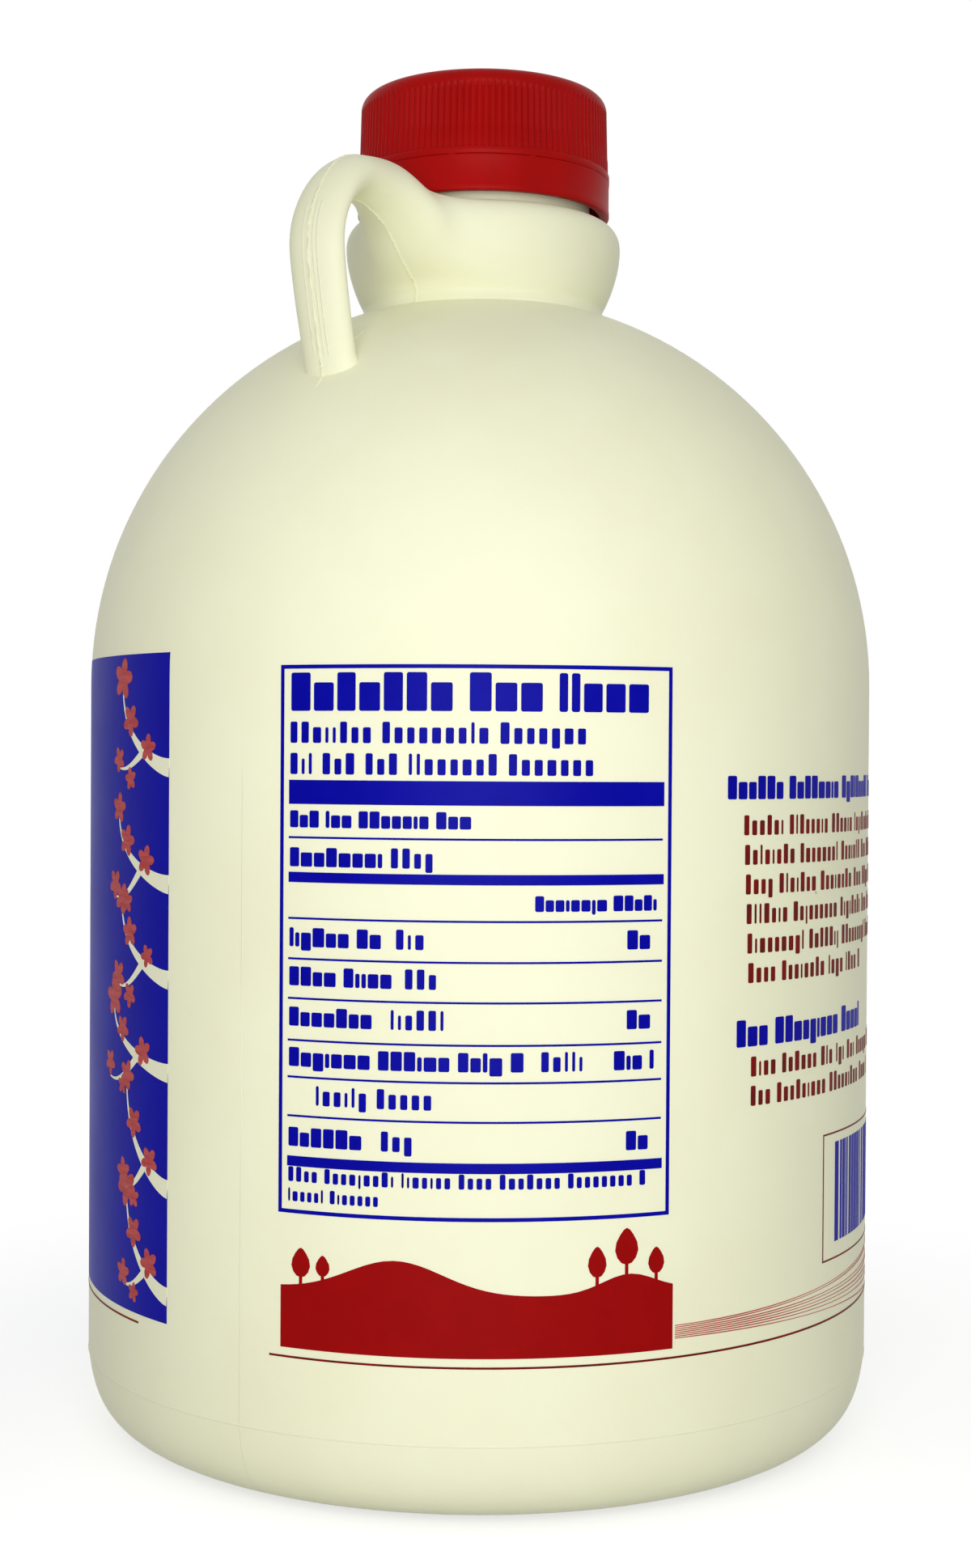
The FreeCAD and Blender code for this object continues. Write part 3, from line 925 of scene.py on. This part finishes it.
class MakeHills(bpy.types.Operator):
    """Red band of rolling hills with small trees, and the thin ground line under it"""
    bl_idname = "syrup_jug.hills"
    bl_label = "Hills and ground line"

    def execute(self, context):
        sheet = Print(context)
        left = sheet.along(context.scene.ink_sizes.panel_left) + 0.45
        width, base = 57.5, 25.8

        def crest(along):
            share = along / width
            broad_hill = 4.8 * math.exp(-((share - 0.3) / 0.17) ** 2)
            small_hill = 2.6 * math.exp(-((share - 0.88) / 0.1) ** 2)
            return base + 8.6 + broad_hill + small_hill

        verts = bmesh.ops.create_grid(sheet.bm, x_segments=44, y_segments=1, size=0.5)["verts"]
        for vert in verts:
            along = (vert.co.x + 0.5) * width
            vert.co = (left + along, crest(along) if vert.co.y > 0 else base, 0)
        # place along the hills, height of the trunk and half the width and height of the crown
        trees = ((3.2, 1.5, 1.5, 2.1), (6.6, 1.0, 1.1, 1.5), (45.8, 1.6, 1.4, 2.2),
                 (50.2, 1.9, 1.8, 2.6), (54.8, 1.4, 1.3, 1.9))
        for along, trunk, half_w, half_h in trees:
            foot = crest(along) - 0.6
            sheet.block(left + along - 0.25, foot, 0.5, trunk + half_h)
            sheet.oval(left + along, foot + trunk + half_h, half_w, half_h, tip=0.45)
        sheet.stitch("hill_print", "red_ink")
        lines = Print(context)
        for start_deg, end_deg, low in ((4.6, 174.0, 24.35), (-159.0, -20.5, 24.2)):
            start, end = lines.along(math.radians(start_deg)), lines.along(math.radians(end_deg))
            lines.block(start, low, end - start, 0.3)
        lines.stitch("ground_lines", "brown_ink")
        furrows = Print(context)
        start = left + width + 0.4
        for order in range(8):
            rise, end = 0.75 * order - 2.2, furrows.along(math.radians(109 + 7 * (order % 3)))

            def centre(t, order=order, rise=rise, end=end):
                return (start + (end - start) * t, 27.2 + 0.26 * order + rise * t ** 1.6)
            furrows.ribbon(centre, lambda t: 0.055 + 0.02 * math.sin(9 * t), 40)
        furrows.stitch("furrow_lines", "red_ink", finish("leaf_ink"))
        return wanted(context, "furrow_lines")


class MakeSideText(bpy.types.Operator):
    """Side print: two headings, lines of blocks in place of words and a plain block of bars"""
    bl_idname = "syrup_jug.side_text"
    bl_label = "Side print"

    def execute(self, context):
        heads, text, bars = Print(context), Print(context), Print(context)
        left = heads.along(context.scene.ink_sizes.side_left)
        corners = heads.words(left, 103.6, left + 62, 3.4, 71, 0.5, True)
        corners += heads.words(left + 2.0, 67.8, left + 39, 3.9, 72, 0.46, True)
        heads.round_corners(corners, 0.25)
        heads.stitch("side_headings", "blue_ink")
        corners = []
        for order, end in enumerate((60.5, 57.0, 61.5, 58.0, 60.0, 40.0)):
            start, foot = left + 3.2 + 0.2 * order, 98.4 - 4.28 * order
            corners += text.words(start, foot, left + end, 2.9, 80 + order, 0.33)
        for order, end in enumerate((60.0, 48.0)):
            corners += text.words(left + 4.9, 63.4 - 4.25 * order, left + end, 2.9, 90 + order, 0.33)
        text.round_corners(corners, 0.2)
        text.stitch("side_text", "brown_ink")
        edge = left + 23.2
        wide, low, high, line_w = 38.0, 33.4, 52.8, 0.25
        box = Print(context)
        for spot in ((0, low, wide, line_w), (0, high - line_w, wide, line_w), (0, low, line_w, high - low),
                     (wide - line_w, low, line_w, high - low)):
            box.block(edge + spot[0], *spot[1:])
        box.stitch("bar_box", "brown_ink")
        pick = random.Random(5)
        x = edge + 4.3
        while x < edge + wide - 5:
            width = pick.choice((0.35, 0.35, 0.7, 1.05, 1.4))
            bars.block(x, low + 2.6, width, high - low - 4.2)
            x += width + pick.choice((0.35, 0.35, 0.7, 1.05))
        bars.stitch("bar_block", "blue_ink")
        return wanted(context, "bar_block")


class MakeFront(bpy.types.Operator):
    """Blue front panel with borders of sprigs and a plain oval in its middle"""
    bl_idname = "syrup_jug.front"
    bl_label = "Front panel"

    def execute(self, context):
        ink = context.scene.ink_sizes
        field, stems, leaves = Print(context, -0.022), Print(context, -0.002), Print(context, 0.01)
        middle, half = field.along(ink.front_mid), field.along(ink.front_half)
        low, high = 25.6, 124.6
        field.block(middle - half, low, 2 * half, high - low)
        field.stitch("front_field", "blue_ink")
        pick = random.Random(21)
        for side in (-1, 1):
            edge = middle + side * half
            foot = low + 4
            while foot < high - 15:
                self.sprig(stems, leaves, edge, -side, foot, pick)
                foot += pick.uniform(13, 19)
        self.oval_label(stems, middle)
        stems.stitch("front_stems", "cream_plastic")
        leaves.stitch("front_leaves", "red_ink", finish("leaf_ink"))
        return wanted(context, "front_leaves")

    def sprig(self, stems, leaves, edge, inward, foot, pick):
        """A tapering stem that curls in from the panel's edge, with a fork and blossoms."""
        reach, climb = pick.uniform(10, 17), pick.uniform(8, 14)
        droop = pick.uniform(2.4, 5.5)

        def main(t):
            return (edge + inward * (reach * math.sin(1.5 * t)), foot + climb * t ** 1.5)

        def fork(t):
            start = main(0.35)
            return (start[0] + inward * (reach * 0.6) * t, start[1] - droop * math.sin(1.9 * t))

        stems.ribbon(main, lambda t: 0.15 + 1.25 * (1 - t) ** 1.5, 24)
        stems.ribbon(fork, lambda t: 0.1 + 0.55 * (1 - t), 14)
        for line, t, size in ((main, 1.0, 1.15), (main, 0.62, 0.9), (fork, 1.0, 0.95), (fork, 0.5, 0.75),
                              (main, 0.28, 0.85)):
            spot = line(t)
            shift = pick.uniform(1.2, 2.2) * (1 if t != 0.5 else -1)
            grown = size * pick.uniform(1.05, 1.45)
            self.blossom(leaves, spot[0], spot[1] + shift, grown, pick.uniform(-0.7, 0.7))

    def blossom(self, leaves, x, y, size, turn):
        """Five rounded petals round one point."""
        for order in range(5):
            angle = turn + order * 2 * math.pi / 5
            petal = (x - math.sin(angle) * size, y + math.cos(angle) * size)
            leaves.oval(*petal, size * 0.62, size * 0.95, angle, 10)

    def oval_label(self, stems, middle):
        """A plain oval with bars and rows of blocks, which spells nothing."""
        stems.ring(middle, 84, 45, 24, 1.6)
        stems.ring(middle, 84, 42.6, 21.6, 0.5)
        corners = stems.words(middle - 31, 80.5, middle + 31, 9.0, 41, 0.6, True)
        stems.round_corners(corners, 0.8, 3)
        corners = stems.words(middle - 24, 72.0, middle + 24, 3.4, 42, 0.5)
        corners += stems.words(middle - 30, 47.0, middle + 30, 3.2, 43, 0.5)
        corners += stems.words(middle - 22, 40.5, middle + 22, 3.2, 44, 0.5)
        stems.round_corners(corners, 0.3)
        stems.block(middle - 32, 54.0, 64, 0.6)


class MakeStage(bpy.types.Operator):
    """Pale floor, soft studio light and the camera"""
    bl_idname = "syrup_jug.stage"
    bl_label = "Stage"

    def execute(self, context):
        scene, colours = context.scene, context.scene.finish_colours
        bm = bmesh.new()
        bmesh.ops.create_circle(bm, cap_ends=True, segments=96, radius=6000)
        floor = store(bm, "studio_floor", self.floor_material(colours))
        self.light_world(scene, colours)
        self.key_light(scene)
        self.camera(scene)
        scene.view_settings.view_transform = "Standard"
        return wanted(context, "studio_floor")

    def seen(self, tree):
        """1 for rays that should meet the white background: seen, mirrored or through glass."""
        path = tree.nodes.new("ShaderNodeLightPath")
        total = math_node(tree, "ADD", path.outputs["Is Camera Ray"], path.outputs["Is Glossy Ray"])
        total = math_node(tree, "ADD", total, path.outputs["Is Transmission Ray"])
        return math_node(tree, "MINIMUM", total, 1.0)

    def floor_material(self, colours):
        """A pale matt floor that reads as white away from the jug and keeps the jug's shadow near it."""
        material = bpy.data.materials.new("pale_floor")
        material.use_nodes = True
        tree = material.node_tree
        tree.nodes.remove(tree.nodes["Principled BSDF"])
        matt = tree.nodes.new("ShaderNodeBsdfDiffuse")
        where = tree.nodes.new("ShaderNodeTexCoord").outputs["Object"]
        grey = tuple(value * 0.94 for value in colours.floor)
        tone = use_group(tree, "soft_blotch", Vector=where, Scale=3.0, Amount=0.3, Color=(*colours.floor, 1),
                         Second=(*grey, 1)).outputs["Color"]
        tree.links.new(tone, matt.inputs["Color"])
        lift = tree.nodes.new("ShaderNodeEmission")
        lift.inputs["Strength"].default_value = 0.62
        near = tree.nodes.new("ShaderNodeAddShader")
        tree.links.new(matt.outputs[0], near.inputs[0])
        tree.links.new(lift.outputs[0], near.inputs[1])
        white = tree.nodes.new("ShaderNodeEmission")
        distance = tree.nodes.new("ShaderNodeVectorMath")
        distance.operation = "LENGTH"
        tree.links.new(where, distance.inputs[0])
        fade = tree.nodes.new("ShaderNodeMapRange")
        fade.interpolation_type = "SMOOTHSTEP"
        fade.inputs["From Min"].default_value = 0.075
        fade.inputs["From Max"].default_value = 0.2
        tree.links.new(distance.outputs["Value"], fade.inputs["Value"])
        far = tree.nodes.new("ShaderNodeMixShader")
        tree.links.new(fade.outputs[0], far.inputs[0])
        tree.links.new(near.outputs[0], far.inputs[1])
        tree.links.new(white.outputs[0], far.inputs[2])
        pick = tree.nodes.new("ShaderNodeMixShader")
        tree.links.new(self.seen(tree), pick.inputs[0])
        tree.links.new(matt.outputs[0], pick.inputs[1])
        tree.links.new(far.outputs[0], pick.inputs[2])
        tree.links.new(pick.outputs[0], tree.nodes["Material Output"].inputs["Surface"])
        return material

    def light_world(self, scene, colours):
        world = bpy.data.worlds.new("soft_studio")
        scene.world = world
        world.use_nodes = True
        tree = world.node_tree
        tree.nodes.clear()
        soft = tree.nodes.new("ShaderNodeBackground")
        soft.inputs["Color"].default_value = (*colours.studio, 1)
        white = tree.nodes.new("ShaderNodeBackground")
        white.inputs["Color"].default_value = (1, 1, 1, 1)
        pick = tree.nodes.new("ShaderNodeMixShader")
        tree.links.new(self.seen(tree), pick.inputs[0])
        tree.links.new(soft.outputs[0], pick.inputs[1])
        tree.links.new(white.outputs[0], pick.inputs[2])
        out = tree.nodes.new("ShaderNodeOutputWorld")
        tree.links.new(pick.outputs[0], out.inputs["Surface"])

    def key_light(self, scene):
        """One large soft lamp beside the camera, level with the jug's middle."""
        azimuth, distance, height, side = math.radians(32), 0.42, 0.145, 0.25
        lamp = bpy.data.lights.new("soft_box", "AREA")
        lamp.shape = "SQUARE"
        lamp.size = side
        lamp.energy = 0.95
        holder = bpy.data.objects.new("soft_box", lamp)
        holder.location = (distance * math.cos(azimuth), distance * math.sin(azimuth), height)
        aim = Vector((0, 0, 0.1)) - holder.location
        holder.rotation_euler = aim.to_track_quat("-Z", "Y").to_euler()
        holder.visible_camera = False
        scene.collection.objects.link(holder)

    def camera(self, scene):
        """Nearly level and close, beside the handle."""
        azimuth = math.radians(122)
        pitch, yaw, roll = 0.01195, 0.00249, 0.00626
        distance, height = 0.3764, 0.10947
        forward = Vector((math.sin(yaw) * math.cos(pitch), math.cos(yaw) * math.cos(pitch), -math.sin(pitch)))
        level = Vector((math.cos(yaw), -math.sin(yaw), 0))
        upright = level.cross(forward)
        right = level * math.cos(roll) + upright * math.sin(roll)
        up = upright * math.cos(roll) - level * math.sin(roll)
        axes = Matrix((right, up, -forward)).transposed().to_4x4()
        data = bpy.data.cameras.new("view")
        data.sensor_fit = "AUTO"
        data.sensor_width = 36
        data.lens = 51.8
        data.clip_start, data.clip_end = 0.01, 50
        holder = bpy.data.objects.new("view", data)
        stand = Matrix.Rotation(azimuth, 4, "Z") @ Matrix.Translation((0, -distance, height))
        holder.matrix_world = stand @ axes
        scene.collection.objects.link(holder)
        scene.camera = holder


OPERATORS = (MakeShell, MakeSeams, MakeCap, MakeBand, MakeTable, MakeHills, MakeSideText, MakeFront,
             MakeStage)


class SyrupJugPanel(bpy.types.Panel):
    """The jug's makers in the sidebar"""
    bl_idname = "VIEW3D_PT_syrup_jug"
    bl_label = "Syrup Jug"
    bl_space_type = "VIEW_3D"
    bl_region_type = "UI"
    bl_category = "Syrup Jug"

    def draw(self, context):
        for operator in OPERATORS:
            self.layout.operator(operator.bl_idname)


CLASSES = (*GROUPS.values(), *OPERATORS, SyrupJugPanel)


def register():
    for item in CLASSES:
        bpy.utils.register_class(item)
    for name, group in GROUPS.items():
        setattr(bpy.types.Scene, name, bpy.props.PointerProperty(type=group))


def unregister():
    for name in GROUPS:
        delattr(bpy.types.Scene, name)
    for item in reversed(CLASSES):
        bpy.utils.unregister_class(item)


def main():
    """Makes every piece and the stage."""
    register()
    for operator in OPERATORS:
        module, name = operator.bl_idname.split(".")
        getattr(getattr(bpy.ops, module), name)()
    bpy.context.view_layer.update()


if __name__ == "__main__":
    main()
